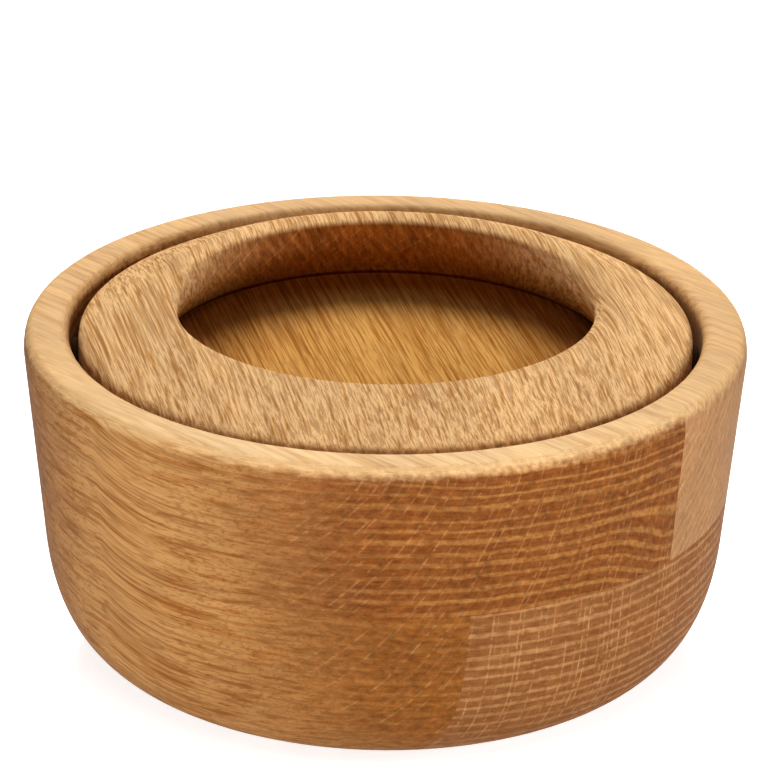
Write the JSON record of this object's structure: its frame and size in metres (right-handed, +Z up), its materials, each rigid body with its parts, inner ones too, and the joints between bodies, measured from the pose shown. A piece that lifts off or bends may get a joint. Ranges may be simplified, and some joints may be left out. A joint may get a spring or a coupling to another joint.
{
  "type": "salt cellar",
  "caption": "Low round turned oak salt cellar with a tilting inset lid: the lid hangs level on hidden pivot pins and has a finger recess with an undercut lip.",
  "frame": {"origin": "centre of the base, on the surface that the bowl stands on", "axes": "+Z up; X along the lid's pivot pins; -Y towards the front, the side that the picture shows"},
  "size_m": [0.115, 0.115, 0.0597],
  "materials": {
    "bowl_oak_dark": "oiled oak, satin",
    "bowl_oak_pale": "oiled oak, satin",
    "lid_oak": "oiled oak, satin",
    "pin_steel": "blackened steel, satin",
    "bush_nylon": "brown nylon, satin"
  },
  "bodies": {
    "bowl": {"upper_front_stave": "bowl_oak_dark", "upper_back_stave": "bowl_oak_pale", "lower_front_stave": "bowl_oak_pale", "lower_middle_stave": "bowl_oak_dark", "lower_back_stave": "bowl_oak_pale", "pivot_pin_left": "pin_steel", "pivot_pin_right": "pin_steel", "pin_plug_left": "bowl_oak_dark", "pin_plug_right": "bowl_oak_pale"},
    "lid": {"lid": "lid_oak", "pivot_bush_left": "bush_nylon", "pivot_bush_right": "bush_nylon"}
  },
  "joints": [
    {"name": "lid_tilt", "type": "hinge", "parent": "bowl", "child": "lid", "pos_m": [0, 0, 0.0483], "axis": [1, 0, 0], "range_deg": [-45, 45]}
  ]
}
